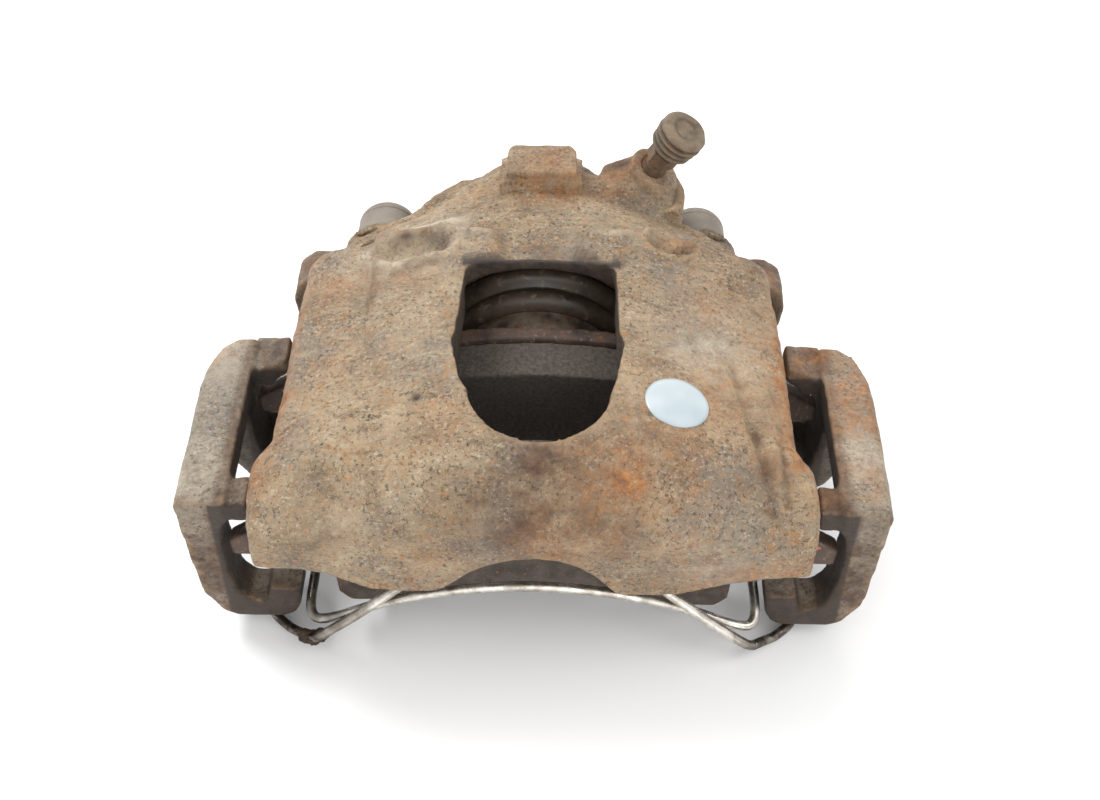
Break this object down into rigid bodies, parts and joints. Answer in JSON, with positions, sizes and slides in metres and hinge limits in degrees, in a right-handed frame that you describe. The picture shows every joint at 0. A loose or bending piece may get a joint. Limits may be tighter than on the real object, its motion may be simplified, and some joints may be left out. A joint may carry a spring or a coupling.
{
  "type": "brake caliper",
  "caption": "Floating disc brake caliper with window bridge, wing-legged carrier, pads, piston, guide pins, bleed screw and wire retaining spring.",
  "frame": {"origin": "midway between the carrier's two mounting holes, on the inboard faces of its mounting ears", "axes": "+X across the caliper along the disc's edge, +Y inboard along the wheel axle, +Z away from the axle"},
  "size_m": [0.204, 0.1542, 0.1027],
  "materials": {
    "carrier_iron": "weathered cast surface",
    "housing_iron": "weathered cast surface with rust",
    "piston_steel": "ground, stained",
    "seal_rubber": "matte",
    "boot_rubber": "dusty",
    "spring_steel": "dull",
    "plate_steel": "worn black paint",
    "friction": "rough composite",
    "shim_steel": "dull",
    "pin_steel": "zinc plated",
    "bush_rubber": "dusty",
    "cap_plastic": "dusty",
    "bleed_steel": "rusty",
    "cap_rubber": "aged",
    "wire_steel": "bright with tarnish"
  },
  "bodies": {
    "carrier": {"carrier": "carrier_iron", "guide_pin_left": "pin_steel", "guide_pin_right": "pin_steel", "retaining_spring": "wire_steel"},
    "housing": {"housing": "housing_iron", "piston_seal": "seal_rubber", "dust_boot": "boot_rubber", "boot_ring": "spring_steel", "guide_bush_left": "bush_rubber", "guide_bush_right": "bush_rubber"},
    "piston": {"piston": "piston_steel", "inner_pad_plate": "plate_steel", "inner_pad_friction": "friction", "inner_pad_shim": "shim_steel", "inner_pad_clip": "spring_steel"},
    "outer_pad": {"outer_pad_plate": "plate_steel", "outer_pad_friction": "friction", "outer_pad_shim": "shim_steel"},
    "bleed_screw": {"bleed_screw": "bleed_steel"},
    "bleed_cap": {"bleed_cap": "cap_rubber"},
    "guide_cap_left": {"guide_cap_left": "cap_plastic"},
    "guide_cap_right": {"guide_cap_right": "cap_plastic"}
  },
  "joints": [
    {"name": "housing_slide", "type": "slide", "parent": "carrier", "child": "housing", "axis": [0, 1, 0], "range_m": [-0.003, 0.008], "deforming": ["retaining_spring"]},
    {"name": "piston_slide", "type": "slide", "parent": "housing", "child": "piston", "axis": [0, -1, 0], "range_m": [-0.003, 0.008], "deforming": ["dust_boot"]},
    {"name": "outer_pad_slide", "type": "slide", "parent": "carrier", "child": "outer_pad", "axis": [0, 1, 0], "range_m": [-0.003, 0.008]},
    {"name": "bleed_screw_turn", "type": "hinge", "parent": "housing", "child": "bleed_screw", "pos_m": [0.0368, 0.02, 0.0675], "axis": [0.432, -0.2201, 0.8746], "range_deg": [0, 270]},
    {"name": "bleed_cap_pull", "type": "slide", "parent": "bleed_screw", "child": "bleed_cap", "axis": [0.432, -0.2201, 0.8746], "range_m": [0, 0.014]},
    {"name": "guide_cap_left_pull", "type": "slide", "parent": "housing", "child": "guide_cap_left", "axis": [0, 1, 0], "range_m": [0, 0.012]},
    {"name": "guide_cap_right_pull", "type": "slide", "parent": "housing", "child": "guide_cap_right", "axis": [0, 1, 0], "range_m": [0, 0.012]}
  ],
  "couplings": [
    {"joint": "outer_pad_slide", "follows": "housing_slide", "ratio": 1}
  ]
}
